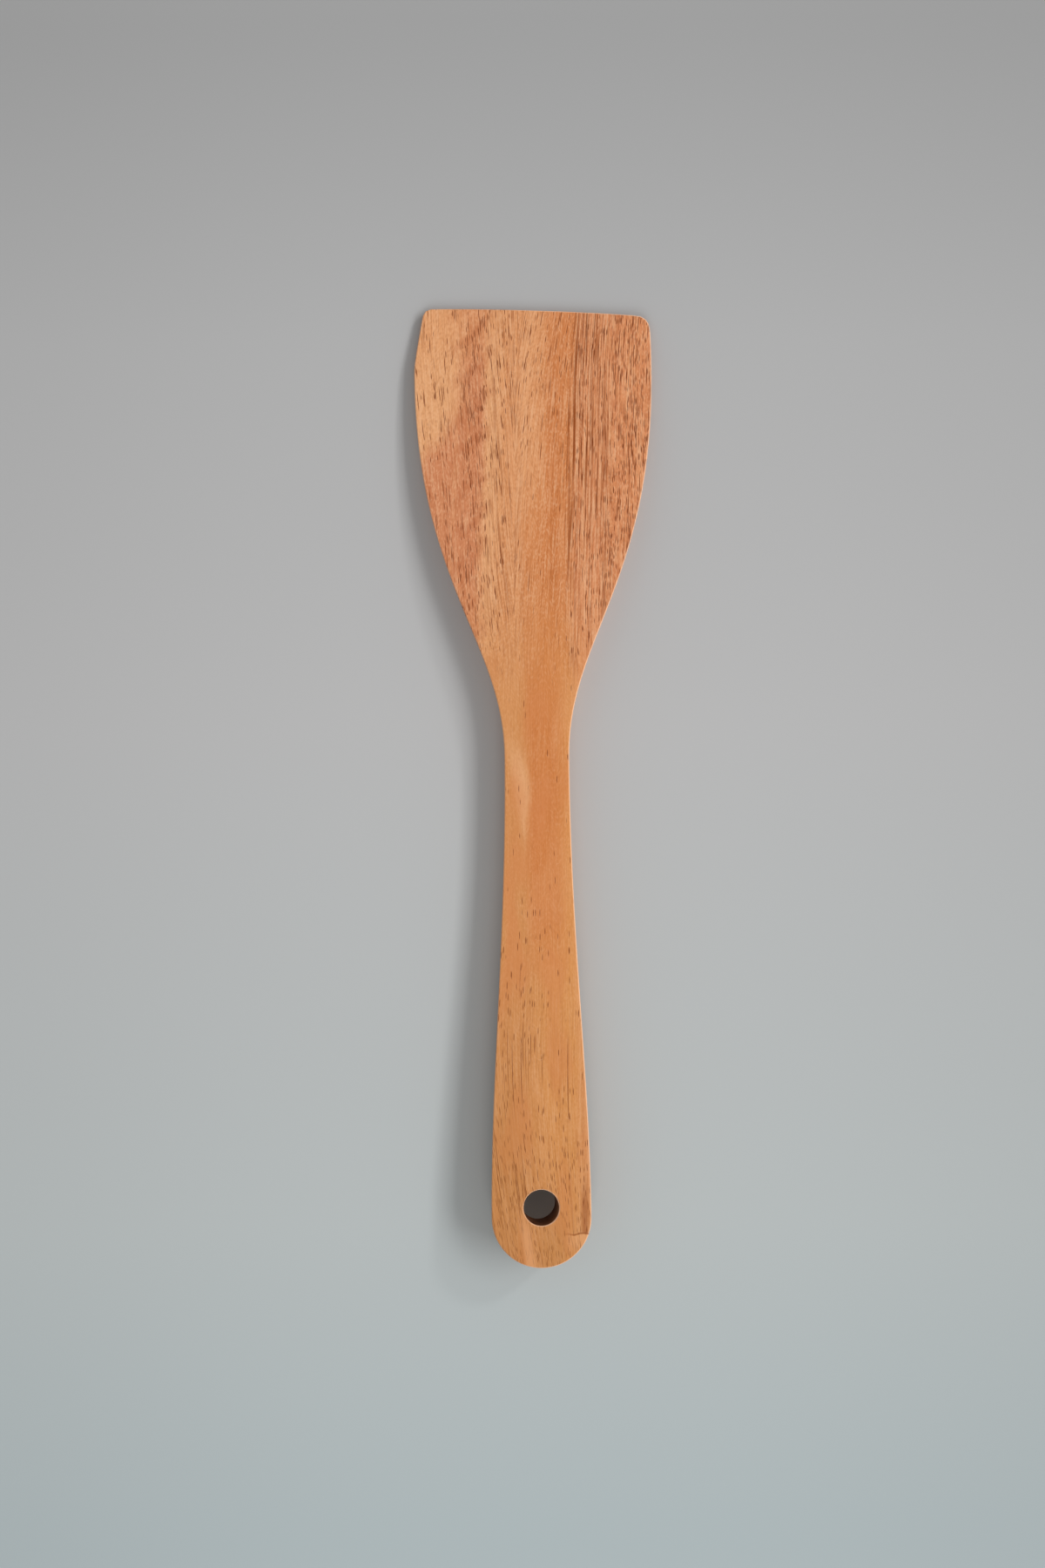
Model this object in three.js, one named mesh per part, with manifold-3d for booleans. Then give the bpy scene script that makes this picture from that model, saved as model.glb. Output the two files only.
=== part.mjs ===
// A wooden kitchen turner, sawn and sanded from one board. Sizes are in millimetres.
// It lies on its flat back: +Z is up, +Y runs from the grip to the blade's tip and +X is to the right.
// The origin is on the back, in the middle of the part's length and width.
import * as THREE from "three";
import { LoftGeometry } from "three/addons/geometries/LoftGeometry.js";
import { mergeVertices } from "three/addons/utils/BufferGeometryUtils.js";
import Module from "manifold-3d";

// The blade, seen from above
const OVERALL_LENGTH = 300; // from the end of the butt to the tip's left corner
const BLADE_WIDTH = 74.9; // where the blade is widest
const BLADE_WIDEST_FROM_TIP = 20;
const TIP_LEFT_REACH = 34.2; // from the centre line to the tip's left corner
const TIP_RIGHT_REACH = 36.8; // from the centre line to the tip's right corner
const TIP_LEFT_BEND = 17; // from the left corner down to where that side bends inwards
const TIP_RIGHT_BEND = 8;
const TIP_LEFT_ROUNDING = 2.5; // how far from the corner its rounding starts, along both edges
const TIP_RIGHT_ROUNDING = 4.2;
const TIP_DROP = 3; // how much lower the right corner is than the left one
const TIP_BOW = 0.75; // how far the tip's edge swells past a straight line

// The neck and the grip, seen from above
const NECK_WIDTH = 20.2;
const NECK_FROM_TIP = 142;
const GRIP_WIDTH = 30.9; // the butt is a half circle of this diameter

// How far each end of a side curve runs straight on, as a share of that curve's length
const BLADE_PULL = 0.555;
const NECK_PULL_UP = 0.3;
const NECK_PULL_DOWN = 0.395;
const GRIP_PULL = 0.3;

// The thickness: the blade tapers straight to the tip, and eases into the grip's even thickness
const GRIP_THICKNESS = 9.5;
const TIP_THICKNESS = 2.5;
const TAPER_LENGTH = 110; // from the tip to where the taper would meet the even thickness
const TAPER_EASE = 30; // how far each way that meeting is eased
const EDGE_RADIUS = 1.2; // rounding of both edges all round
const MOST_EDGE_SHARE = 0.45; // of the thickness, which limits that rounding where the blade is thin

// The lift: the back is flat from the tip past the neck, and the grip then rises off the table
const GRIP_LIFT = 4.5; // at the end of the butt
const LIFT_FROM_TIP = 175; // from the tip to where the rising back would meet the flat one
const LIFT_EASE = 20;

// The hanging hole through the butt
const HOLE_DIAMETER = 11;
const HOLE_FROM_BUTT = 18.5;
const HOLE_LEAN = 7; // degrees out of square: the back mouth lies to the left of the top one
const HOLE_EASING = 0.6; // rounding of both mouths
const CUT_PAST = 2; // how far the cutters reach past the faces

// Steps along each curve
const BUTT_STEPS = 10;
const GRIP_STEPS = 14;
const SHOULDER_STEPS = 18;
const FLANK_STEPS = 4;
const CORNER_STEPS = 4;
const TIP_STEPS = 4;
const EDGE_STEPS = 3;
const HOLE_SIDES = 40;
const EASING_STEPS = 3;

const buttY = -OVERALL_LENGTH / 2;
const tipY = OVERALL_LENGTH / 2;
const gripHalf = GRIP_WIDTH / 2;
const neckHalf = NECK_WIDTH / 2;
const bladeHalf = BLADE_WIDTH / 2;

const taperSlope = (GRIP_THICKNESS - TIP_THICKNESS) / TAPER_LENGTH;
const liftSlope = GRIP_LIFT / (OVERALL_LENGTH - LIFT_FROM_TIP);

// Zero before a bend and equal to the distance past it, with the bend eased by a parabola
function pastBend(distance, ease) {
  const eased = THREE.MathUtils.clamp(distance + ease, 0, 2 * ease) ** 2 / (4 * ease);
  return eased + Math.max(0, distance - ease);
}

function thicknessAt(y) {
  return GRIP_THICKNESS - taperSlope * pastBend(TAPER_LENGTH - (tipY - y), TAPER_EASE);
}

function backAt(y) {
  return liftSlope * pastBend(tipY - y - LIFT_FROM_TIP, LIFT_EASE);
}

function edgeRadiusAt(y) {
  return Math.min(EDGE_RADIUS, thicknessAt(y) * MOST_EDGE_SHARE);
}

// A side curve between two widths, upright at both ends
function easedSide(from, to, pullFrom, pullTo) {
  const rise = to.y - from.y;
  const leave = new THREE.Vector2(from.x, from.y + rise * pullFrom);
  const arrive = new THREE.Vector2(to.x, to.y - rise * pullTo);
  return new THREE.CubicBezierCurve(from, leave, arrive, to);
}

// A point that lies a given distance from one point, in the direction of another
function towards(from, to, distance) {
  return to.clone().sub(from).setLength(distance).add(from);
}

// The right half of the outline, from the middle of the butt up to the middle of the tip
function halfOutline(corner, bend, rounding, tipMiddle) {
  const gripEnd = new THREE.Vector2(gripHalf, buttY + gripHalf);
  const neck = new THREE.Vector2(neckHalf, tipY - NECK_FROM_TIP);
  const widest = new THREE.Vector2(bladeHalf, tipY - BLADE_WIDEST_FROM_TIP);
  const flankPull = new THREE.Vector2(bladeHalf, corner.y - bend);
  const edgePull = new THREE.Vector2((corner.x + tipMiddle.x) / 2, (corner.y + tipMiddle.y + TIP_BOW) / 2);
  const flankEnd = towards(corner, flankPull, rounding);
  const edgeStart = towards(corner, edgePull, rounding);

  const stretches = [
    [new THREE.EllipseCurve(0, gripEnd.y, gripHalf, gripHalf, -Math.PI / 2, 0), BUTT_STEPS],
    [easedSide(gripEnd, neck, GRIP_PULL, NECK_PULL_DOWN), GRIP_STEPS],
    [easedSide(neck, widest, NECK_PULL_UP, BLADE_PULL), SHOULDER_STEPS],
    [new THREE.QuadraticBezierCurve(widest, flankPull, flankEnd), FLANK_STEPS],
    [new THREE.QuadraticBezierCurve(flankEnd, corner, edgeStart), CORNER_STEPS],
    [new THREE.QuadraticBezierCurve(edgeStart, edgePull, tipMiddle), TIP_STEPS],
  ];
  const points = [new THREE.Vector2(0, buttY)];
  for (const [curve, steps] of stretches) {
    points.push(...curve.getPoints(steps).slice(1));
  }
  return points;
}

// The whole outline, anticlockwise from the middle of the butt, and each point's place on the spine.
// The spine joins the middles of the two sides. Round the butt and the tip its ends fan out.
function boardOutline() {
  const rightCorner = new THREE.Vector2(TIP_RIGHT_REACH, tipY - TIP_DROP);
  const leftCorner = new THREE.Vector2(TIP_LEFT_REACH, tipY);
  const tipMiddle = new THREE.Vector2((TIP_RIGHT_REACH - TIP_LEFT_REACH) / 2, tipY - TIP_DROP / 2 + TIP_BOW);
  const mirroredMiddle = new THREE.Vector2(-tipMiddle.x, tipMiddle.y);
  const right = halfOutline(rightCorner, TIP_RIGHT_BEND, TIP_RIGHT_ROUNDING, tipMiddle);
  const left = halfOutline(leftCorner, TIP_LEFT_BEND, TIP_LEFT_ROUNDING, mirroredMiddle);
  for (const point of left) {
    point.x = -point.x;
  }

  const last = right.length - 1;
  const spineEnd = last - CORNER_STEPS - TIP_STEPS;
  const spine = right.map((_, row) => {
    const kept = THREE.MathUtils.clamp(row, BUTT_STEPS, spineEnd);
    return right[kept].clone().lerp(left[kept], 0.5);
  });
  const wayBack = Array.from({ length: last - 1 }, (_, step) => last - 1 - step);
  return {
    rim: [...right, ...wayBack.map((row) => left[row])],
    spine: [...spine, ...wayBack.map((row) => spine[row])],
  };
}

// Unit vectors that point out of the board at each point of its rim
function outwardNormals(rim) {
  return rim.map((_, index) => {
    const before = rim.at(index - 1);
    const after = rim[(index + 1) % rim.length];
    return new THREE.Vector2(after.y - before.y, before.x - after.x).normalize();
  });
}

// The board as rings stacked from the back to the top face, closed along the spine on both faces
function boardGeometry() {
  const { rim, spine } = boardOutline();
  const normals = outwardNormals(rim);

  const rimRing = (angle, onTop) =>
    rim.map((point, index) => {
      const radius = edgeRadiusAt(point.y);
      const place = point.clone().addScaledVector(normals[index], -radius * (1 - Math.sin(angle)));
      const fromFace = radius * (1 - Math.cos(angle));
      const height = onTop ? thicknessAt(point.y) - fromFace : fromFace;
      return new THREE.Vector3(place.x, place.y, backAt(point.y) + height);
    });
  const spineRing = (onTop) =>
    spine.map(({ x, y }) => new THREE.Vector3(x, y, backAt(y) + (onTop ? thicknessAt(y) : 0)));

  const angles = Array.from({ length: EDGE_STEPS + 1 }, (_, step) => (step / EDGE_STEPS) * (Math.PI / 2));
  return new LoftGeometry([
    spineRing(false),
    ...angles.map((angle) => rimRing(angle, false)),
    ...angles.toReversed().map((angle) => rimRing(angle, true)),
    spineRing(true),
  ]);
}

// A round cutter for one mouth of the hole, flaring outwards from the bore to the face at height 0
function mouthCutter() {
  const bore = HOLE_DIAMETER / 2;
  const profile = [new THREE.Vector2(0, -HOLE_EASING)];
  for (let step = 0; step <= EASING_STEPS; step += 1) {
    const angle = (step / EASING_STEPS) * (Math.PI / 2);
    const flare = HOLE_EASING * (1 - Math.cos(angle));
    profile.push(new THREE.Vector2(bore + flare, HOLE_EASING * (Math.sin(angle) - 1)));
  }
  profile.push(new THREE.Vector2(bore + HOLE_EASING, CUT_PAST));
  profile.push(new THREE.Vector2(0, CUT_PAST));
  return new THREE.LatheGeometry(profile, HOLE_SIDES).rotateX(Math.PI / 2);
}

// The hole's three cutters: the leaning bore and the mouths at the top face and the back.
// They are made over a level back and then set on the rising one.
function holeCutters() {
  const holeY = buttY + HOLE_FROM_BUTT;
  const thickness = thicknessAt(holeY);
  const lean = THREE.MathUtils.degToRad(HOLE_LEAN);
  const length = thickness / Math.cos(lean) + 2 * CUT_PAST;
  const bore = new THREE.CylinderGeometry(HOLE_DIAMETER / 2, HOLE_DIAMETER / 2, length, HOLE_SIDES)
    .rotateX(Math.PI / 2)
    .rotateY(lean)
    .translate((-thickness / 2) * Math.tan(lean), 0, thickness / 2);
  const topMouth = mouthCutter().translate(0, 0, thickness);
  const backMouth = mouthCutter().rotateY(Math.PI).translate(-thickness * Math.tan(lean), 0, 0);
  const rise = Math.atan(liftSlope);
  return [bore, topMouth, backMouth].map((cutter) =>
    cutter.rotateX(-rise).translate(0, holeY, backAt(holeY)),
  );
}

const wasm = await Module();
wasm.setup();

// A closed geometry as a solid that can be cut
function toSolid(geometry) {
  const bare = new THREE.BufferGeometry().copy(geometry);
  bare.deleteAttribute("normal");
  bare.deleteAttribute("uv");
  const merged = mergeVertices(bare);
  const corners = merged.index.array;
  const kept = [];
  for (let first = 0; first < corners.length; first += 3) {
    const [a, b, c] = corners.slice(first, first + 3);
    if (a !== b && b !== c && c !== a) {
      kept.push(a, b, c);
    }
  }
  const mesh = new wasm.Mesh({
    numProp: 3,
    vertProperties: merged.attributes.position.array,
    triVerts: new Uint32Array(kept),
  });
  return new wasm.Manifold(mesh);
}

function toGeometry(solid) {
  const mesh = solid.getMesh();
  const geometry = new THREE.BufferGeometry();
  geometry.setAttribute("position", new THREE.BufferAttribute(mesh.vertProperties, 3));
  geometry.setIndex(new THREE.BufferAttribute(mesh.triVerts, 1));
  geometry.computeVertexNormals();
  return geometry;
}

// The board with its hole, set down with the middle of its box over the origin
function spatulaBody() {
  const board = toSolid(boardGeometry());
  const drilled = holeCutters().reduce((solid, cutter) => solid.subtract(toSolid(cutter)), board);
  const geometry = toGeometry(drilled);
  geometry.computeBoundingBox();
  const middle = geometry.boundingBox.getCenter(new THREE.Vector3());
  geometry.translate(-middle.x, -middle.y, -geometry.boundingBox.min.z);

  const wood = new THREE.MeshStandardMaterial({ color: 0xcb8a58, roughness: 0.55, metalness: 0 });
  const body = new THREE.Mesh(geometry, wood);
  body.name = "spatula_body";
  return body;
}

const spatula = new THREE.Group();
spatula.name = "wooden_spatula";
spatula.add(spatulaBody());

export default spatula;
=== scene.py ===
# %% [markdown]
# # A wooden kitchen turner
# The turner is sawn from one hardwood board, tapered towards the tip, sanded and oiled.
# Nothing is glued or screwed to it, so the whole object is one piece of wood and one finish.
# The packed solid fixes its size and place. Here it gets a finer board with rounded edges and its grain.

# %% Load the frame
import math

import bmesh
import bpy
import numpy as np
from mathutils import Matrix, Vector
from mathutils.geometry import interpolate_bezier


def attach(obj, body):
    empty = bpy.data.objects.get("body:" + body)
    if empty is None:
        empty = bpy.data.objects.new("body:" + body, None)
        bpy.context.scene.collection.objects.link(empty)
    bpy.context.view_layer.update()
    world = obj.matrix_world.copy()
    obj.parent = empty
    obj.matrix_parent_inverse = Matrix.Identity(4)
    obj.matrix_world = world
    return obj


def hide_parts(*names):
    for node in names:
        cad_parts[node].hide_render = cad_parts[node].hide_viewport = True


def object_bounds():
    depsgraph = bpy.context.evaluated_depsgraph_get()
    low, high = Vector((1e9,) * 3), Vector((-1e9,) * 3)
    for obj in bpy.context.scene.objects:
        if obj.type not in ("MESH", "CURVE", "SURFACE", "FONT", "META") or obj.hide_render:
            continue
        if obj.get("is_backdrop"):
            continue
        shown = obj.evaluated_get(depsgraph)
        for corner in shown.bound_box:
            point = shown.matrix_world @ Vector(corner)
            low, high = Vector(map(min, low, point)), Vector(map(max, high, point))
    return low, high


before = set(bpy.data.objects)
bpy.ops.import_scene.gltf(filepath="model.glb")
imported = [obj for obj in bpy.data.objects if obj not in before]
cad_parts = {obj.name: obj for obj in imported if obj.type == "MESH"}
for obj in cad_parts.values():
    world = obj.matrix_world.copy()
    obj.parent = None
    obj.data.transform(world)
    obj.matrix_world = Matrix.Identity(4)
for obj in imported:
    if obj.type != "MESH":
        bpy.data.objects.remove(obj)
solid_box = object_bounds()
print("nodes:", sorted(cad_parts), "box:", [tuple(corner) for corner in solid_box])

# %% [markdown]
# ## The outline
# On the real turner a band saw follows a pencil line, and a sander takes the corners off.
# The line could be a list of many points. A few widths joined by curves say the same with less:
# each side swells from the grip's round end to the neck's waist and on to the blade's widest place.
# Lengths are in millimetres up to the last step, which turns the board into metres.

# %% Sizes seen from above
LENGTH = 300.0
BLADE_WIDTH = 74.9
WIDEST_FROM_TIP = 20.0
NECK_WIDTH = 20.2
NECK_FROM_TIP = 142.0
GRIP_WIDTH = 30.9
BLADE_PULL, NECK_PULL_UP = 0.555, 0.3
NECK_PULL_DOWN, GRIP_PULL = 0.395, 0.3
TIP_DROP = 3.0
TIP_BOW = 0.75
LEFT_TIP = {"reach": 34.2, "drop": 0.0, "bend": 17.0, "rounding": 2.5}
RIGHT_TIP = {"reach": 36.8, "drop": TIP_DROP, "bend": 8.0, "rounding": 4.2}

tip_y, butt_y = LENGTH / 2, -LENGTH / 2
grip_half = GRIP_WIDTH / 2
print("the tip is at y =", tip_y, "and the butt's end at y =", butt_y)

# %% Curves of one side
CURVE_STEPS = 65


def eased_side(start, end, pull_start, pull_end):
    """A side curve between two widths, upright at both ends."""
    rise = Vector((0, end.y - start.y))
    return interpolate_bezier(start, start + rise * pull_start, end - rise * pull_end, end, CURVE_STEPS)


def bent_line(start, corner, end):
    """A curve that leaves one point and reaches another in line with a corner between them."""
    return interpolate_bezier(start, start.lerp(corner, 2 / 3), end.lerp(corner, 2 / 3), end, CURVE_STEPS)


def towards(start, end, distance):
    """The point that lies a distance away from one point, in the direction of another."""
    return start + (end - start).normalized() * distance


def half_outline(tip, tip_middle):
    """One side as if it were the right one, up to the middle of its corner, and the tip's edge after it."""
    grip_end = Vector((grip_half, butt_y + grip_half))
    neck = Vector((NECK_WIDTH / 2, tip_y - NECK_FROM_TIP))
    widest = Vector((BLADE_WIDTH / 2, tip_y - WIDEST_FROM_TIP))
    corner = Vector((tip["reach"], tip_y - tip["drop"]))
    flank_corner = Vector((widest.x, corner.y - tip["bend"]))
    edge_corner = (corner + tip_middle + Vector((0, TIP_BOW))) / 2
    flank_end = towards(corner, flank_corner, tip["rounding"])
    edge_start = towards(corner, edge_corner, tip["rounding"])

    eighth = np.linspace(-math.pi / 4, 0, CURVE_STEPS)
    side = [grip_end + Vector((math.cos(turn) - 1, math.sin(turn))) * grip_half for turn in eighth]
    side += eased_side(grip_end, neck, GRIP_PULL, NECK_PULL_DOWN)
    side += eased_side(neck, widest, NECK_PULL_UP, BLADE_PULL)
    side += bent_line(widest, flank_corner, flank_end)
    rounding = bent_line(flank_end, corner, edge_start)
    middle = CURVE_STEPS // 2
    side += rounding[: middle + 1]
    edge = rounding[middle:] + bent_line(edge_start, edge_corner, tip_middle)
    return np.array(side), np.array(edge)


tip_middle = Vector(((RIGHT_TIP["reach"] - LEFT_TIP["reach"]) / 2, tip_y - TIP_DROP / 2 + TIP_BOW))
mirrored_middle = Vector((-tip_middle.x, tip_middle.y))
right_side, right_edge = half_outline(RIGHT_TIP, tip_middle)
left_side, left_edge = half_outline(LEFT_TIP, mirrored_middle)
left_side[:, 0] *= -1
left_edge[:, 0] *= -1
tip_edge = np.concatenate([left_edge, right_edge[::-1]])
print("points on a side:", len(right_side), "and on the tip's edge:", len(tip_edge))

# %% [markdown]
# ## The sheet
# The board's top could be one many-sided face, but such a face can't follow the taper.
# A grid can, so a plain grid is stretched between the two sides, row by row.
# Its first rows bow out to the butt's round end and its last row leans to the slanted tip.
# The two outer columns keep one width everywhere, which leaves room for the rounded edge.

# %% Stretch a grid over the outline
COLUMNS, ROWS = 30, 200
RIM_WIDTH = 1.6
BUTT_FADE = 9.0
TIP_FADE = 20.0
ARC_START, ARC_SPAN = 225, 90


def side_place(side, along):
    """The point of a side at a share of its length along the board."""
    y = side[0, 1] + (side[-1, 1] - side[0, 1]) * along
    return Vector((np.interp(y, side[:, 1], side[:, 0]), y))


def column_share(column, width):
    """How far across a row a column lies, with a rim of even width at both sides."""
    if column in (0, COLUMNS):
        return column / COLUMNS
    return (RIM_WIDTH + (width - 2 * RIM_WIDTH) * (column - 1) / (COLUMNS - 2)) / width


def sheet_place(column, along):
    """Where a grid point goes: on its row, which bends to follow the butt and the tip."""
    left, right = side_place(left_side, along), side_place(right_side, along)
    share = column_share(column, right.x - left.x)
    place = left.lerp(right, share)

    turn = math.radians(ARC_START + ARC_SPAN * share)
    arc = Vector((math.cos(turn), math.sin(turn) + 1)) * grip_half + Vector((0, butt_y))
    straight = side_place(left_side, 0).lerp(side_place(right_side, 0), share)
    place += (arc - straight) * max(0, 1 - along * LENGTH / BUTT_FADE)

    last = side_place(left_side, 1).lerp(side_place(right_side, 1), share)
    edge_y = np.interp(last.x, tip_edge[:, 0], tip_edge[:, 1])
    place.y += (edge_y - last.y) * max(0, 1 - (1 - along) * LENGTH / TIP_FADE)
    return place


board = bmesh.new()
bmesh.ops.create_grid(board, x_segments=COLUMNS, y_segments=ROWS, size=0.5)
bmesh.ops.translate(board, verts=board.verts, vec=(0.5, 0.5, 0))
bmesh.ops.scale(board, verts=board.verts, vec=(COLUMNS, ROWS, 1))
print("the grid has", len(board.faces), "faces")

# %% [markdown]
# ## The hanging hole
# The hole is drilled by hand after sanding, so it leans a little: its back mouth lies further left.
# A boolean cut would leave thin slivers round it that a bevel trips over.
# Instead a block of the grid is taken out before the grid is stretched.
# The points on the block's rim then move in to the hole's circle, and the faces outside them follow.

# %% Stretch the grid and open the hole
HOLE_DIAMETER = 11.0
HOLE_FROM_BUTT = 18.5
BLOCK_MIDDLE = Vector((15, 9.5))
BLOCK_HALF = Vector((9, 5.5))
SLACK = 0.1
hole_y = butt_y + HOLE_FROM_BUTT


def in_block(place):
    """Whether a place in the grid lies in the block round the hole or on its rim."""
    away = place.xy - BLOCK_MIDDLE
    return abs(away.x) < BLOCK_HALF.x + SLACK and abs(away.y) < BLOCK_HALF.y + SLACK


block = [face for face in board.faces if in_block(face.calc_center_median())]
bmesh.ops.delete(board, geom=block, context="FACES")
mouth = [vert for vert in board.verts if in_block(vert.co)]
for vert in board.verts:
    place = sheet_place(round(vert.co.x), vert.co.y / ROWS)
    vert.co = (place.x, place.y, 0)
hole = Vector((0, hole_y, 0))
for vert in mouth:
    vert.co = hole + (vert.co - hole).normalized() * HOLE_DIAMETER / 2
print("faces taken out:", len(block), "points round the hole:", len(mouth))

# %% [markdown]
# ## The thickness
# Seen from the side the board is planed: even along the grip, and thinner towards the tip.
# The back is flat from the tip past the neck, and then the grip rises a little off the table.
# Two sheets could be made and joined round their rims. One extrude does it in a single step: it gives
# the sheet its second face and its walls. Each point is then set to its height.

# %% Sizes seen from the side
GRIP_THICKNESS = 9.5
TIP_THICKNESS = 2.5
TAPER_LENGTH, TAPER_EASE = 110.0, 30.0
GRIP_LIFT = 4.5
LIFT_FROM_TIP, LIFT_EASE = 175.0, 20.0
HOLE_LEAN = math.radians(7)

taper_slope = (GRIP_THICKNESS - TIP_THICKNESS) / TAPER_LENGTH
lift_slope = GRIP_LIFT / (LENGTH - LIFT_FROM_TIP)


def past_bend(distance, ease):
    """Zero before a bend and the distance past it after, eased by a parabola between."""
    if distance >= ease:
        return distance
    return max(0, distance + ease) ** 2 / (4 * ease)


def thickness_at(y):
    return GRIP_THICKNESS - taper_slope * past_bend(TAPER_LENGTH - (tip_y - y), TAPER_EASE)


def back_at(y):
    return lift_slope * past_bend(tip_y - y - LIFT_FROM_TIP, LIFT_EASE)


neck_thickness = thickness_at(tip_y - NECK_FROM_TIP)
print("thickness at the tip:", thickness_at(tip_y), "and at the neck:", round(neck_thickness, 2))

# %% Give the sheet its thickness
lifted = bmesh.ops.extrude_face_region(board, geom=board.faces[:])
top = [item for item in lifted["geom"] if isinstance(item, bmesh.types.BMVert)]
lean = Vector((-math.tan(HOLE_LEAN), -lift_slope, 0)) * GRIP_THICKNESS
bmesh.ops.translate(board, verts=mouth, vec=lean)
for vert in board.verts:
    vert.co.z = back_at(vert.co.y)
for vert in top:
    vert.co.z += thickness_at(vert.co.y)
bmesh.ops.recalc_face_normals(board, faces=board.faces)
print("the board is", round(max(vert.co.z for vert in top), 2), "mm high")

# %% [markdown]
# ## The rounded edges
# Sandpaper takes the sharp corner off every edge, more round the outside than at the hole.
# A bevel modifier could do it by angle. The bmesh operator does the same and lets the two differ.

# %% Round the edges
EDGE_ROUNDING = 1.1
HOLE_ROUNDING = 0.4
SHARP = math.radians(50)


def round_edges(edges, radius, steps):
    bmesh.ops.bevel(
        board, geom=edges, offset=radius, offset_type="OFFSET", segments=steps,
        profile=0.5, affect="EDGES", clamp_overlap=True, material=-1,
    )


def at_hole(edge):
    """Whether an edge belongs to one of the hole's mouths."""
    return (edge.verts[0].co.xy - hole.xy).length < HOLE_DIAMETER


sharp = [edge for edge in board.edges if edge.calc_face_angle(0) > SHARP]
hole_edges = [edge for edge in sharp if at_hole(edge)]
outer_edges = [edge for edge in sharp if not at_hole(edge)]
round_edges(outer_edges, EDGE_ROUNDING, steps=5)
round_edges(hole_edges, HOLE_ROUNDING, steps=4)
print("edges rounded:", len(outer_edges), "outside and", len(hole_edges), "at the hole")

# %% [markdown]
# ## One piece of wood
# The drawing was in millimetres and the frame is in metres, so the board is scaled once, here.
# Three numbers stay on every point for the finish: how far it lies on a rounded edge, which is painted
# pale, partly as rubbed wood and partly as a painted highlight; how far it lies on a wall, which is painted
# darker so that it throws less warm light onto the floor; and whether that wall is the hole's, painted dark
# as its shade.
# A shader could work them out from the normal, but the faces' shading bends the normals.
# As attributes of the mesh they keep the shape's own values.

# %% Make the piece
METRES = 0.001
bmesh.ops.scale(board, verts=board.verts, vec=(METRES, METRES, METRES))
bmesh.ops.recalc_face_normals(board, faces=board.faces)
for face in board.faces:
    face.smooth = True
board.normal_update()
worn_edge = board.verts.layers.float.new("worn_edge")
sawn_wall = board.verts.layers.float.new("sawn_wall")
drilled_wall = board.verts.layers.float.new("drilled_wall")
for vert in board.verts:
    flat = abs(vert.normal.z)
    in_hole = (vert.co.xy / METRES - hole.xy).length < HOLE_DIAMETER
    vert[worn_edge] = 2 * flat * vert.normal.xy.length
    vert[sawn_wall] = 1 - flat
    vert[drilled_wall] = in_hole * (1 - flat)
mesh = bpy.data.meshes.new("spatula_board")
board.to_mesh(mesh)
board.free()
spatula = bpy.data.objects.new("spatula_board", mesh)
bpy.context.scene.collection.objects.link(spatula)
spatula.modifiers.new("flat_faces", "WEIGHTED_NORMAL")
print("triangles:", sum(len(face.vertices) - 2 for face in mesh.polygons))

# %% Carry the piece on the frame
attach(spatula, "root")
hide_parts("spatula_body")
print("the board rides on the root body")

# %% [markdown]
# ## Shader maths
# A material's nodes can be set one by one, but a long chain of them hides what it works out.
# Here a small class wraps one socket. Plus, minus, times and the like add the Math nodes,
# so the wood below reads as sums, and colours are laid over each other with Mix nodes.

# %% A small language for shader maths
class Field:
    """A socket of a node tree. Operators on it add Math nodes, and add() any other node."""

    def __init__(self, tree, socket):
        self.tree, self.socket = tree, socket

    def add(self, kind, settings, inputs, output=0):
        node = self.tree.nodes.new(kind)
        for name, value in settings.items():
            if name == "stops":
                set_stops(node.color_ramp, value)
            else:
                setattr(node, name, value)
        for name, value in inputs.items():
            if isinstance(value, Field):
                self.tree.links.new(value.socket, node.inputs[name])
            else:
                node.inputs[name].default_value = value
        return Field(self.tree, node.outputs[output])

    def output(self, name):
        return Field(self.tree, self.socket.node.outputs[name])

    def feed(self, socket):
        self.tree.links.new(self.socket, socket)

    def math(self, operation, *values):
        return self.add("ShaderNodeMath", {"operation": operation}, dict(enumerate(values)))

    def __add__(self, other):
        return self.math("ADD", self, other)

    def __sub__(self, other):
        return self.math("SUBTRACT", self, other)

    def __rsub__(self, other):
        return self.math("SUBTRACT", other, self)

    def __mul__(self, other):
        return self.math("MULTIPLY", self, other)

    def __truediv__(self, other):
        return self.math("DIVIDE", self, other)

    def __pow__(self, other):
        return self.math("POWER", self, other)

    def __abs__(self):
        return self.math("ABSOLUTE", self)

    __radd__ = __add__
    __rmul__ = __mul__


def set_stops(ramp, stops):
    """Gives a colour ramp its stops: a share of its length and a colour each."""
    while len(ramp.elements) < len(stops):
        ramp.elements.new(1.0)
    for element, (share, colour) in zip(ramp.elements, stops):
        element.position = share
        element.color = colour


print("a field can:", ", ".join(name for name in vars(Field) if not name.startswith("__")))

# %% Soft steps, tints and colours
def smooth(value, start, end):
    """A soft step from 0 to 1 as a value goes from start to end."""
    ends = {"Value": value, "From Min": start, "From Max": end}
    return value.add("ShaderNodeMapRange", {"interpolation_type": "SMOOTHSTEP"}, ends)


def at_least(value, least):
    return value.math("MAXIMUM", value, least)


def tint(base, colour, amount):
    """A colour laid over another one."""
    return amount.add("ShaderNodeMix", {"data_type": "RGBA"}, {0: amount, 6: base, 7: colour}, output=2)


def bands(value, low, high, stops):
    """Colours set out at places along a value, and blended between them."""
    shares = [((mark - low) / (high - low), colour) for mark, colour in stops]
    return value.add("ShaderNodeValToRGB", {"stops": shares}, {"Fac": (value - low) / (high - low)})


def seen(red, green, blue):
    """A colour as it looks on a screen, in 0 to 255, as the linear light that a shader works in."""
    shares = [channel / 255 for channel in (red, green, blue)]
    return (*[share / 12.92 if share < 0.04 else ((share + 0.055) / 1.055) ** 2.4 for share in shares], 1.0)


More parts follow.
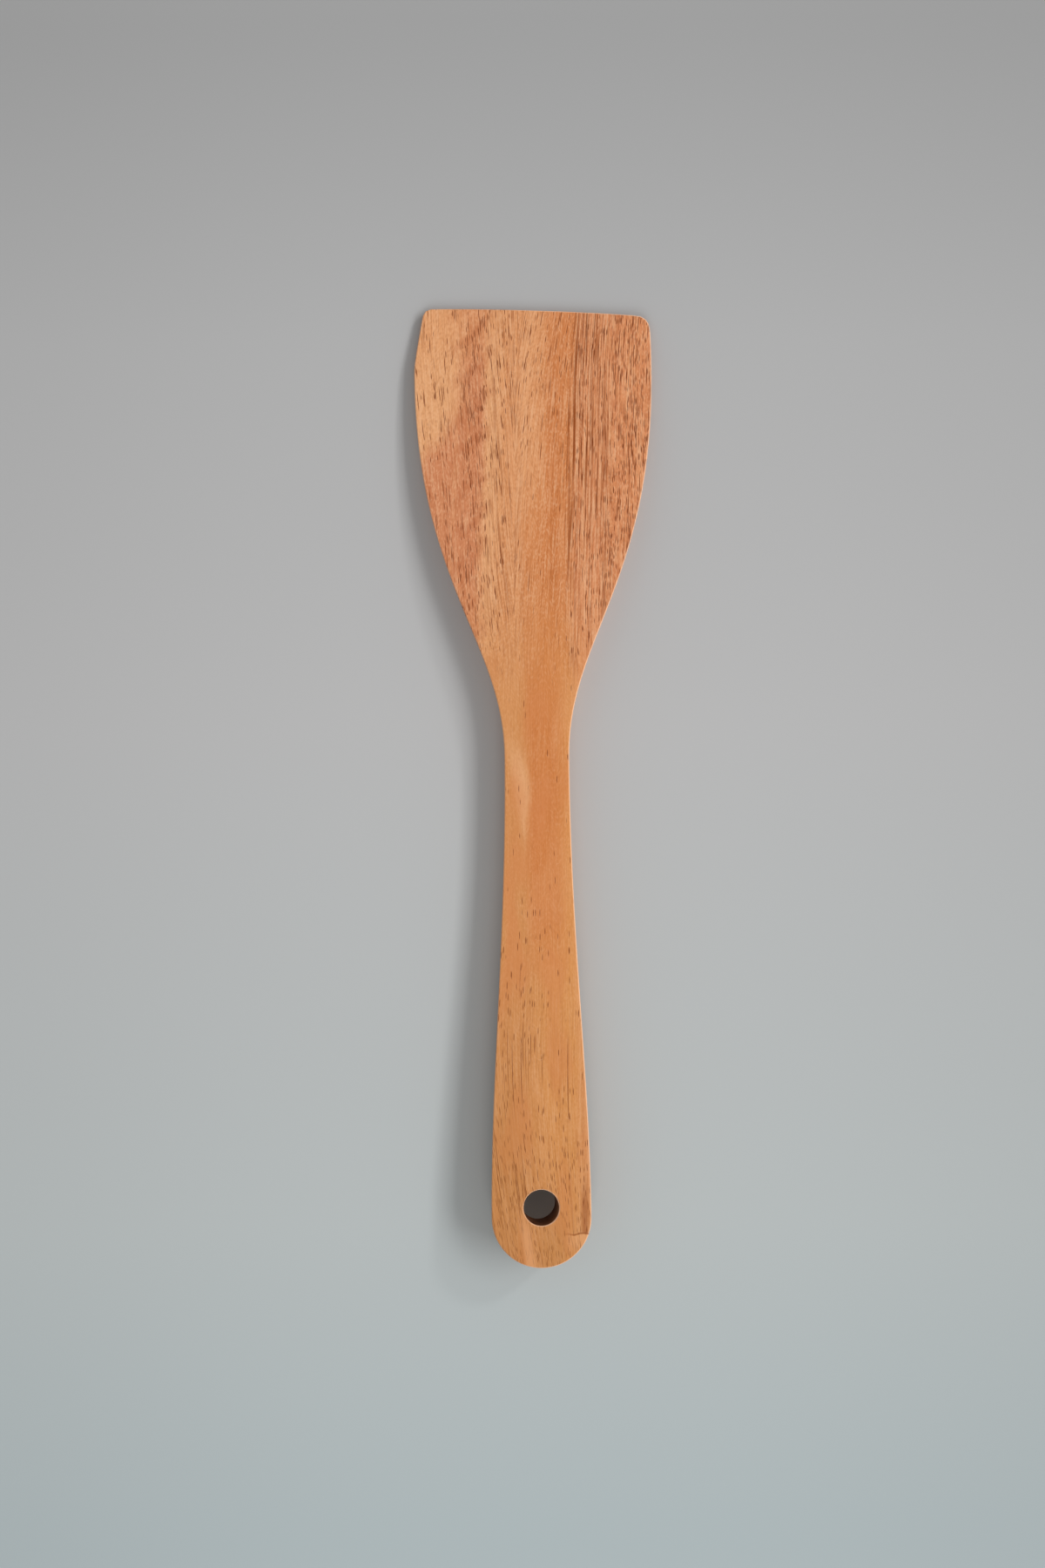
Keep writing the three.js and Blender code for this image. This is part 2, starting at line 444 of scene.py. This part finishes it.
print("a middle grey of 188 is", round(seen(188, 188, 188)[0], 2), "in linear light")

# %% [markdown]
# ## Where a point lies in the wood
# The fibres run along the board, but not quite straight. Close to the tip they bend to the right,
# and below the grip's middle they sweep round towards the hanging hole.
# A photograph of wood could be wrapped round the board, but it would smear over the edges.
# Patterns worked out inside the solid run over every edge, and show dots where an end cuts the fibres.
# So each point gets three lengths: across the fibres, along them, and down from the top face.

# %% Across, along and down
GROWTH_LEAN = 0.3
BLADE_DRIFT = 1.0
BEND_FROM, TIP_BEND = 118.0, 0.0012
SWEEP_FROM, SWEEP, LEFT_SWEEP = -75.0, 0.0011, 0.00004

wood = bpy.data.materials.new("oiled_wood")
wood.use_nodes = True
shader = wood.node_tree.nodes["Principled BSDF"]
spot = Field(wood.node_tree, shader.outputs[0]).add("ShaderNodeTexCoord", {}, {}).output("Object")
in_metres = (METRES, METRES, METRES)
spot = spot.add("ShaderNodeVectorMath", {"operation": "DIVIDE"}, {0: spot, 1: in_metres})
x = spot.add("ShaderNodeSeparateXYZ", {}, {0: spot})
y, z = x.output("Y"), x.output("Z")
along = y

drift = BLADE_DRIFT * smooth(y, 20.0, 100.0) + TIP_BEND * at_least(y - BEND_FROM, 0.0) ** 2
sweep = at_least(SWEEP_FROM - y, 0.0) ** 2 * (SWEEP - LEFT_SWEEP * x)
across = x + GROWTH_LEAN * (z - GRIP_THICKNESS) - drift - sweep
into_taper = at_least(y - (tip_y - TAPER_LENGTH), 0.0)
into_lift = at_least((tip_y - LIFT_FROM_TIP) - y, 0.0)
down = GRIP_THICKNESS - taper_slope * into_taper + lift_slope * into_lift - z
print("nodes for the place in the wood:", len(wood.node_tree.nodes))

# %% Noise that follows the fibres
SEED_STEP = Vector((31.0, 17.0, 13.0))


def laid(wide, long, seed, turn):
    """The place in the wood, counted in cells of a size and moved on so that no two patterns match."""
    fibre = across.add("ShaderNodeCombineXYZ", {}, {0: across, 1: along, 2: down})
    cell = {"Location": SEED_STEP * seed, "Rotation": (0, 0, turn), "Scale": (wide, long, wide)}
    return fibre.add("ShaderNodeMapping", {"vector_type": "TEXTURE"}, {"Vector": fibre, **cell})


def cloudy(wide, long, seed, detail=0.0, turn=0.0):
    """Soft noise about zero, with clouds as wide across the fibres, and as long along them, as asked."""
    inputs = {"Vector": laid(wide, long, seed, turn), "Scale": 1.0, "Detail": detail}
    return (across.add("ShaderNodeTexNoise", {}, inputs) - 0.5) * 2.0


# Fibres side by side are also shifted along, so that what they carry doesn't start in one row.
across = across + 1.3 * cloudy(16.0, 70.0, seed=3.0)
along = along + 6.0 * cloudy(4.0, 60.0, seed=2.0)
wander = across + cloudy(4.0, 60.0, seed=4.0) + 0.6 * cloudy(1.3, 40.0, seed=8.0)
print("the fibres wander by about a millimetre to either side")

# %% Fibres that lean
LEFT_LEAN, MIDDLE_LEAN = math.radians(6), math.radians(-4)

open_blade = smooth(y, 20.0, 60.0)
left_half = open_blade * smooth(wander, -6.0, -10.0)
middle = open_blade * smooth(wander, -10.0, -6.0) * smooth(wander, 10.0, 7.0)
leans = ((LEFT_LEAN, left_half), (MIDDLE_LEAN, middle), (0.0, 1.0 - left_half - middle))


def leaning(wide, long, seed):
    """Noise that leans as the fibres do: one way on the blade's left half, the other in its middle."""
    parts = [zone * cloudy(wide, long, seed, turn=turn) for turn, zone in leans]
    return parts[0] + parts[1] + parts[2]


print("fibres lean by", [round(math.degrees(turn)) for turn, zone in leans], "degrees")

# %% [markdown]
# ## Growth bands
# A tree lays down pale and dark wood by turns, and a sawn board shows them as long bands.
# A wave would make all bands alike, and no two are. So one colour ramp across the fibres sets them out
# for the blade, and another one for the grip.
# The blade's bands are rosy, tan and orange, with a pale wedge at its upper left, and its middle turns
# orange further down. The grip is plainer, from caramel on the left to gold, with an orange neck.

# %% Colours of the bands
CREAM = seen(240, 190, 148)
PALE = seen(231, 168, 117)
TAN = seen(223, 152, 100)
ROSE = seen(210, 135, 92)
STRAW = seen(228, 160, 109)
ORANGE = seen(211, 131, 77)
AMBER = seen(206, 123, 65)
CARAMEL = seen(210, 142, 84)
GOLD = seen(219, 149, 86)
BROWN = seen(219, 141, 93)

WEDGE_X, WEDGE_Y, WEDGE_BEND = -26.0, 125.0, 0.022

on_blade = smooth(y, 10.0, 70.0)
blade_tone = bands(wander, -40.0, 40.0, [
    (-36.0, ROSE), (-19.0, ROSE), (-16.0, PALE), (-11.0, TAN), (-5.0, STRAW), (-1.5, TAN),
    (2.5, ORANGE), (9.0, ORANGE), (12.0, BROWN), (36.0, BROWN),
])
grip_tone = bands(wander, -16.0, 16.0, [
    (-14.0, CARAMEL), (-4.0, CARAMEL), (4.0, GOLD), (10.0, GOLD), (15.0, TAN),
])
past_wedge = wander - WEDGE_X + WEDGE_BEND * at_least(WEDGE_Y - y, 0.0) ** 2
blade_tone = tint(blade_tone, PALE, smooth(past_wedge, 4.5, -4.5))
blade_tone = tint(blade_tone, TAN, 0.5 * smooth(y, 125.0, 145.0) * smooth(wander, -8.0, -16.0))
turns_orange = smooth(y, 105.0, 75.0) * smooth(wander, -8.0, -4.0) * smooth(wander, 8.0, 4.0)
blade_tone = tint(blade_tone, AMBER, 0.6 * turns_orange)
orange_neck = smooth(y, -65.0, -40.0) * smooth(y, 65.0, 15.0) * smooth(x, -5.0, -1.0) * smooth(x, 12.0, 5.0)
tone = tint(grip_tone, blade_tone, on_blade)
tone = tint(tone, AMBER, 0.8 * orange_neck)
print("bands on the blade and the grip are mixed from eight colours, and amber lies over them")

# %% [markdown]
# ## The pale tongue at the neck
# A streak of pale wood lies on the neck's left side and ends below it in a point.
# It is where the saw cut through one growth ring at a slant. Noise would put such tongues anywhere.
# Two straight lines that meet at a point put this one in its place, and soft steps blur its edges.

# %% Pale tongue
TONGUE_X, TONGUE_Y = -4.2, -18.0
TONGUE_SLOPE, TONGUE_LEAN = 5.5, 0.19
TONGUE_TOP = 18.0
PALE_RING = seen(234, 178, 128)

above_point = y - TONGUE_Y - TONGUE_SLOPE * abs(x - TONGUE_X + 0.8 * cloudy(5.0, 9.0, seed=6.0))
tongue = smooth(above_point, -8.0, 10.0) * smooth(x + TONGUE_LEAN * y, -0.8, -4.6)
tone = tint(tone, PALE_RING, 0.85 * tongue * smooth(y, TONGUE_TOP, 0.0))
print("the pale tongue ends at y =", TONGUE_Y)

# %% [markdown]
# ## Streaks and threads
# Close up, a band is made of streaks about a millimetre wide, and these of threads as fine as hair.
# There are too many to draw one by one. Both are the same noise drawn out along the fibres, at two
# sizes. Where it is high the wood gets darker, and where it is low it gets paler.
# On the grip the wood is calmer, with wide soft patches.
# A speckle as fine as sawdust lies over all of it, where the sander cut the fibres short.

# %% Streaks and threads
UMBER = seen(140, 66, 12)
streaks = cloudy(0.9, 60.0, seed=12.0, detail=2.0)
threads = leaning(0.3, 9.0, seed=17.0)
speckle = cloudy(0.4, 0.9, seed=19.0)
calm_middle = smooth(wander, -12.0, -6.0) * smooth(wander, 10.0, 8.0)
on_grip = smooth(y, -40.0, -90.0)
at_butt = smooth(y, -105.0, -130.0)
strength = 0.2 + 0.35 * on_grip + open_blade * (0.8 - 0.3 * calm_middle) - 0.35 * left_half
tone = tint(tone, UMBER, (0.2 * strength + 0.3 * at_butt) * smooth(streaks, 0.0, 0.5))
tone = tint(tone, PALE, (0.4 * strength + 0.4 * at_butt) * smooth(streaks, 0.0, -0.5))
tone = tint(tone, UMBER, 0.35 * strength * smooth(threads, 0.0, 0.6))
tone = tint(tone, CREAM, 0.5 * strength * smooth(threads, 0.0, -0.6))
tone = tint(tone, UMBER, (0.1 + 0.08 * open_blade) * smooth(speckle, 0.0, 0.6))
tone = tint(tone, CREAM, (0.14 + 0.16 * open_blade) * smooth(speckle, 0.0, -0.6))
patches = (1.0 - on_blade) * cloudy(7.0, 24.0, seed=61.0)
tone = tint(tone, ORANGE, 0.5 * smooth(patches, 0.0, 0.5))
tone = tint(tone, PALE, 0.15 * smooth(patches, 0.0, -0.5))
print("wood nodes with streaks and threads:", len(wood.node_tree.nodes))

# %% [markdown]
# ## Dark lines on the blade
# Right of the blade's middle a set of thin dark lines runs the whole way, a millimetre or two apart.
# They are the edges of narrow rings. Stripes of a wave would be too even, so they are noise again,
# drawn out so far that it hardly changes along the board. A line runs wherever it passes zero,
# which keeps every line equally thin. A shorter noise breaks them up here and there.
# The first two rings are the strongest, and all of them fade a little further down the blade.

# %% Dark lines
lined = open_blade * smooth(wander, 8.6, 9.6) * smooth(wander, 25.0, 18.0)
lined = lined * (0.7 + 0.3 * smooth(y, 75.0, 110.0))
faintly_lined = open_blade * smooth(wander, -17.0, -14.0) * smooth(wander, -4.0, -8.0)
FIRST_RINGS = (9.0, 10.4)
unbroken = 0.15 + 0.85 * smooth(cloudy(0.8, 14.0, seed=37.0), -0.4, 0.3)
rings = leaning(0.9, 140.0, seed=23.0)
fine_rings = leaning(0.32, 60.0, seed=29.0)
tone = tint(tone, UMBER, (0.95 * lined + 0.4 * faintly_lined) * unbroken * smooth(abs(rings), 0.18, 0.04))
tone = tint(tone, UMBER, (0.35 * lined + 0.2 * faintly_lined) * smooth(fine_rings, 0.08, 0.4))
tone = tint(tone, CREAM, (0.4 * lined + 0.2 * faintly_lined) * smooth(fine_rings, -0.08, -0.4))
for ring in FIRST_RINGS:
    on_ring = open_blade * unbroken * smooth(abs(wander - ring), 0.28, 0.06)
    tone = tint(tone, UMBER, (0.12 + 0.73 * smooth(y, 80.0, 115.0)) * on_ring)
print("the strongest dark lines lie at", FIRST_RINGS, "mm across the fibres")

# %% [markdown]
# ## Mottle
# Along the blade's two sides the fibres wave, so the light catches them in small rusty clouds.
# On the left the clouds lie in slanted rows, and on the right they are scattered.
# Noise alone makes no rows, so these are a sine wave over a slanted length that noise bends.
# The clouds are a noise that is turned a little.

# %% Mottle
RUST = seen(178, 95, 52)
right_side_wood = on_blade * smooth(wander, 16.0, 23.0)
left_side_wood = on_blade * smooth(wander, -31.0, -26.0) * smooth(wander, -13.0, -18.0)
rows = 0.52 * (y - 0.9 * x) + 2.5 * cloudy(6.0, 14.0, seed=41.0)
rows = rows.math("SINE", rows)
clouds = cloudy(2.4, 5.5, seed=31.0, detail=2.0, turn=0.5)
tone = tint(tone, RUST, smooth(clouds, 0.0, 0.5) * (0.06 + 0.25 * right_side_wood + 0.2 * left_side_wood))
tone = tint(tone, PALE, smooth(clouds, 0.0, -0.5) * 0.25 * right_side_wood)
tone = tint(tone, RUST, smooth(rows, 0.0, 1.0) * 0.25 * left_side_wood)
print("wood nodes with mottle:", len(wood.node_tree.nodes))

# %% [markdown]
# ## Pores
# Hardwood has vessels that carried the tree's water. Where the plane opened one along its length
# it shows as a fine dark dash. They crowd in some bands, and the middle of the blade has few.
# The peaks of a drawn-out noise could stand for them, but where they crowd they run together.
# A Voronoi pattern keeps them apart: it scatters points, one to a cell, and tells how near the next
# one is. With cells drawn out along the fibres, all that is near a point makes one dash.
# Each cell also has a number of its own, so a share of the dashes can be left out.

# %% How crowded the pores are
def grey(share):
    return (share, share, share, 1.0)


def brightness(colour):
    """How bright a colour is, as a number that can go into sums."""
    return colour.add("ShaderNodeRGBToBW", {}, {"Color": colour})


crowded = brightness(bands(wander, -40.0, 40.0, [
    (-36.0, grey(0.4)), (-28.0, grey(0.5)), (-22.0, grey(0.95)), (-14.0, grey(0.75)),
    (-9.0, grey(0.3)), (0.0, grey(0.1)), (8.0, grey(0.15)), (11.0, grey(0.5)),
    (20.0, grey(0.6)), (26.0, grey(0.9)), (36.0, grey(0.8)),
]))
crowded = crowded + 0.3 * calm_middle * smooth(y, 85.0, 115.0)
gathered = smooth(cloudy(3.0, 16.0, seed=51.0), -0.45, 0.45)
in_rows = 1.0 - 0.35 * left_side_wood * smooth(rows, 0.4, -0.4)
grip_crowded = 0.2 + 0.2 * smooth(y, -20.0, -55.0) + 0.2 * smooth(x, 0.0, -11.0) * on_grip + 0.55 * at_butt
crowded = grip_crowded + open_blade * (crowded - grip_crowded)
crowded = crowded * (0.55 + 0.45 * gathered) * in_rows
lines_on_grip = (0.3 + 0.7 * gathered) * smooth(y, -45.0, -90.0) * (0.35 + 0.65 * smooth(x, 2.0, -7.0))
print("pores are most crowded along the blade's two sides")

# %% Pores
PORE = seen(120, 52, 4)


def dashes(wide, long, seed, share, turn):
    """Dashes in cells of a size. A cell has one if its own number is below the share."""
    cells = across.add("ShaderNodeTexVoronoi", {}, {"Vector": laid(wide, long, seed, turn), "Scale": 1.0})
    own_number = brightness(cells.output("Color"))
    return smooth(cells, 0.38, 0.2) * smooth(share - own_number, 0.0, 0.05)


def pores(wide, long, seed, share):
    """Thin dark dashes that lean as the fibres do."""
    parts = [zone * dashes(wide, long, seed, share, turn) for turn, zone in leans]
    return parts[0] + parts[1] + parts[2]


all_pores = pores(0.4, 45.0, seed=13.0, share=0.7 * lines_on_grip)
all_pores = at_least(all_pores, pores(0.33, 3.0, seed=7.0, share=0.7 * crowded * right_side_wood))
all_pores = at_least(all_pores, pores(0.38, 4.0, seed=5.0, share=crowded))
all_pores = at_least(all_pores, pores(0.38, 10.0, seed=9.0, share=crowded * open_blade))
tone = tint(tone, PORE, 0.95 * all_pores)
print("wood nodes with pores:", len(wood.node_tree.nodes))

# %% [markdown]
# ## Use and wear, with painted highlights and shade
# Edges are painted pale, partly as rubbed wood and partly as a painted highlight, strongest on the
# right-hand edges that face the window. The walls are painted darker, so that less warm light bounces
# from them onto the floor, and the hole's wall is painted nearly black as the shade inside the hole.
# The grip's end is darker from hands, with a pale streak left of its middle. A short crack runs in
# from its right side. Its dark line is painted shade in the gap, the dark mark above it is painted shade
# where the damaged rim turns from the light, and the paler wood below it is a painted highlight on the
# chip's facet.
# Sandpaper left a few faint marks across the fibres.
# Noise alone would scatter all of this. It sits where the shape, the light or the use puts it, so it
# reads the kept attributes or a place.

# %% Wear and painted light and shade
HONEY = seen(180, 120, 62)
RUBBED_AND_LIT = seen(246, 204, 172)
DARKENED_WALL = seen(146, 88, 42)
HOLE_SHADE = seen(70, 32, 16)
BUTT_STREAK = -9.0
RIM_SHADE_X = 13.4
CRACK_Y, CRACK_FROM, CRACK_TO, CRACK_DEPTH = -139.6, 6.0, 10.5, 3.0


def kept(name):
    """A number that the mesh keeps on its points."""
    return x.add("ShaderNodeAttribute", {"attribute_name": name}, {}).output("Fac")


tone = tint(tone, HONEY, 0.15 * smooth(y, -40.0, -90.0) + 0.2 * smooth(y, -95.0, -150.0))
tone = tint(tone, HONEY, 0.25 * smooth(y, -70.0, -110.0) * smooth(x, 0.0, -12.0))
tone = tint(tone, HONEY, 0.3 * smooth(y, -130.0, -142.0) * smooth(x, -2.0, 1.0) * smooth(x, 9.0, 5.0))
tone = tint(tone, PALE, 0.5 * smooth(y, -130.0, -140.0) * smooth(abs(across - BUTT_STREAK), 3.0, 0.5))
# Painted shade: the walls are painted darker, so that less warm light bounces from them onto the floor
# beside the board.
tone = tint(tone, DARKENED_WALL, 0.65 * smooth(kept("sawn_wall"), 0.75, 1.0))
# Painted highlight: edges are painted pale, partly as rubbed wood and most on the right-hand edges, where
# the window's light catches them.
rubbed_and_lit = (0.3 + 0.7 * smooth(x, -10.0, 4.0)) * smooth(kept("worn_edge"), 0.3, 0.8)
tone = tint(tone, RUBBED_AND_LIT, 0.6 * rubbed_and_lit)
# Painted shade: the hole's wall is painted nearly black, as the shade inside the hole.
tone = tint(tone, HOLE_SHADE, 0.9 * smooth(kept("drilled_wall"), 0.5, 1.0))
off_crack = y - CRACK_Y + 0.5 * cloudy(3.0, 8.0, seed=71.0)
near_top = smooth(down, CRACK_DEPTH, 0.0)
in_crack = near_top * smooth(x, CRACK_FROM, CRACK_TO)
crack = in_crack * smooth(abs(off_crack), 0.4, 0.1)
above_crack = smooth(y, -120.0, -132.0) * smooth(off_crack, -0.4, 0.4)
# Painted shade: a dark mark above the crack, where the damaged rim turns from the light.
rim_shade = near_top * above_crack * smooth(abs(x - RIM_SHADE_X), 1.6, 0.3)
tone = tint(tone, UMBER, 0.55 * rim_shade)
# Painted highlight: paler wood below the crack, where the chip's facet catches the light.
tone = tint(tone, PALE, 0.4 * in_crack * smooth(off_crack, 0.0, -0.6) * smooth(off_crack, -7.0, -2.0))
# Painted shade: the crack's dark line is the shade in its gap.
tone = tint(tone, UMBER, 0.6 * crack)
sanding_marks = smooth(cloudy(6.0, 0.4, seed=83.0, turn=0.1), 0.68, 0.8)
tone = tint(tone, CREAM, 0.3 * sanding_marks)
print("the crack starts", CRACK_FROM, "mm right of the middle")

# %% [markdown]
# ## Oil finish
# Oil soaks in and leaves the wood satin: no film lies on top, so pores and threads stay open.
# The bump makes the pores grooves and the threads ridges. Relief as fine as this could be in the mesh,
# but that would take millions of faces. Roughness follows the streaks and the pores a little.

# %% Oil finish
RELIEF_STRENGTH, RELIEF_HEIGHT = 0.3, 0.0003
SHINE = 0.2

relief = 0.12 * threads + 0.1 * streaks - 0.5 * all_pores - 1.5 * crack
roughness = 0.52 + 0.08 * streaks + 0.12 * all_pores
heights = {"Height": relief, "Strength": RELIEF_STRENGTH, "Distance": RELIEF_HEIGHT}
tone.feed(shader.inputs["Base Color"])
roughness.feed(shader.inputs["Roughness"])
relief.add("ShaderNodeBump", {}, heights).feed(shader.inputs["Normal"])
shader.inputs["Specular IOR Level"].default_value = SHINE
mesh.materials.append(wood)
print("wood nodes in all:", len(wood.node_tree.nodes))

# %% [markdown]
# ## The floor
# The turner lies on smooth grey paper, which is cooler at the near end. The window's falloff is painted
# into it
# as painted shade: darker at the far end and towards the sides.
# A curved backdrop could hide its far edge, but the camera looks straight down, so a plane is enough.
# Its colours change along its length, as painted light that falls off further from a window.

# %% Floor
FLOOR_SIZE = 40.0
FLOOR_DROP = 0.0001
FAR_PAPER = seen(190, 190, 190)

bpy.ops.mesh.primitive_plane_add(size=FLOOR_SIZE, location=(0, 0, -FLOOR_DROP))
floor = bpy.context.object
floor.name = "floor"
paper = bpy.data.materials.new("grey_paper")
paper.use_nodes = True
paper_shader = paper.node_tree.nodes["Principled BSDF"]
paper_end = Field(paper.node_tree, paper_shader.outputs[0])
paper_spot = paper_end.add("ShaderNodeTexCoord", {}, {}).output("Object")
paper_x = paper_spot.add("ShaderNodeSeparateXYZ", {}, {0: paper_spot})
# Painted light: the paper is brightest near the middle and darker towards the far end.
paper_tone_and_light = bands(paper_x.output("Y"), -1.0, 1.0, [
    (-0.9, FAR_PAPER), (-0.24, seen(174, 185, 187)), (-0.14, seen(184, 190, 190)),
    (0.02, seen(186, 186, 186)), (0.14, seen(178, 178, 178)), (0.24, seen(162, 162, 162)),
    (0.9, FAR_PAPER),
])
# Painted shade: the paper turns darker towards its sides.
paper_tone_and_light = tint(paper_tone_and_light, seen(120, 120, 120), 0.12 * smooth(abs(paper_x), 0.04, 0.2))
paper_tone_and_light.feed(paper_shader.inputs["Base Color"])
paper_shader.inputs["Roughness"].default_value = 0.9
paper_shader.inputs["Specular IOR Level"].default_value = SHINE
floor.data.materials.append(paper)
floor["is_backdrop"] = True
print("the floor is", FLOOR_SIZE, "m wide")

# %% [markdown]
# ## The light
# A wide window stands to the right, and its light comes in at about forty degrees.
# A sun lamp would give a hard shadow. A lamp as large as the window gives it its soft edge.
# Two weaker ones come in from below the butt, which shades the floor past the tip, and low from
# the far right.
# The room's pale walls fill the shadows in.
# Straight above, where the camera stands, the room is darker, which keeps the hanging hole deep.

# %% Windows
WINDOW_AWAY = 6.0


def window(name, bearing, height, width, tall, watts):
    """A lamp as large as a window: where it stands round the board and how high, in degrees."""
    lamp = bpy.data.lights.new(name, "AREA")
    lamp.shape = "RECTANGLE"
    lamp.size, lamp.size_y = width, tall
    lamp.energy = watts
    holder = bpy.data.objects.new(name, lamp)
    turn, rise = math.radians(bearing), math.radians(height)
    away = Vector((math.cos(turn) * math.cos(rise), math.sin(turn) * math.cos(rise), math.sin(rise)))
    holder.location = away * WINDOW_AWAY
    holder.rotation_euler = (-away).to_track_quat("-Z", "Y").to_euler()
    bpy.context.scene.collection.objects.link(holder)
    print(name, "stands", [round(length, 2) for length in holder.location], "m away")


window("window", bearing=0, height=41, width=5.0, tall=1.7, watts=195)
window("near_window", bearing=-90, height=42, width=3.0, tall=3.2, watts=80)
window("far_window", bearing=37, height=29, width=0.5, tall=0.5, watts=51)

# %% Room
WALL_LIGHT, CEILING_LIGHT = 0.52, 0.23
WALL_SEEN = 0.8

room = bpy.data.worlds.new("room")
room.use_nodes = True
walls = room.node_tree.nodes["Background"]
looking = Field(room.node_tree, walls.outputs[0]).add("ShaderNodeTexCoord", {}, {}).output("Generated")
height = looking.add("ShaderNodeSeparateXYZ", {}, {0: looking}).output("Z")
light = tint(grey(WALL_LIGHT), grey(CEILING_LIGHT), smooth(height, 0.72, 0.92))
rays = looking.add("ShaderNodeLightPath", {}, {})
looked_at = at_least(rays, at_least(rays.output("Is Glossy Ray"), rays.output("Is Transmission Ray")))
tint(light, grey(WALL_SEEN), looked_at).feed(walls.inputs["Color"])
bpy.context.scene.world = room
print("the walls give", WALL_LIGHT, "of white, and the ceiling", CEILING_LIGHT)

# %% [markdown]
# ## The camera
# The picture looks straight down from about half a metre, with the turner almost upright in it.
# A 35 mm lens at that height takes in its whole length with room to spare. A longer lens would do
# from further up, but it would show less of the hole's wall than can be seen from here.

# %% Camera
CAMERA_PLACE = (-0.004565, -0.000448, 0.4844)
CAMERA_TURN = math.radians(-0.57)

camera_data = bpy.data.cameras.new("camera")
camera_data.lens = 35.0
camera_data.sensor_width = 36.0
camera = bpy.data.objects.new("camera", camera_data)
camera.location = CAMERA_PLACE
camera.rotation_euler = (0, 0, CAMERA_TURN)
bpy.context.scene.collection.objects.link(camera)
bpy.context.scene.camera = camera
bpy.context.scene.view_settings.view_transform = "Standard"
print("the camera is", round(camera.location.z, 3), "m above the floor")

# %% [markdown]
# ## Finish
# The finer board has to fill the same box as the solid that it stands for, so both are written down.

# %% Write down both boxes and finish
boxes = {"solid": solid_box, "dressed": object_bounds()}
boxes = {name: [list(corner) for corner in box] for name, box in boxes.items()}
print(boxes)
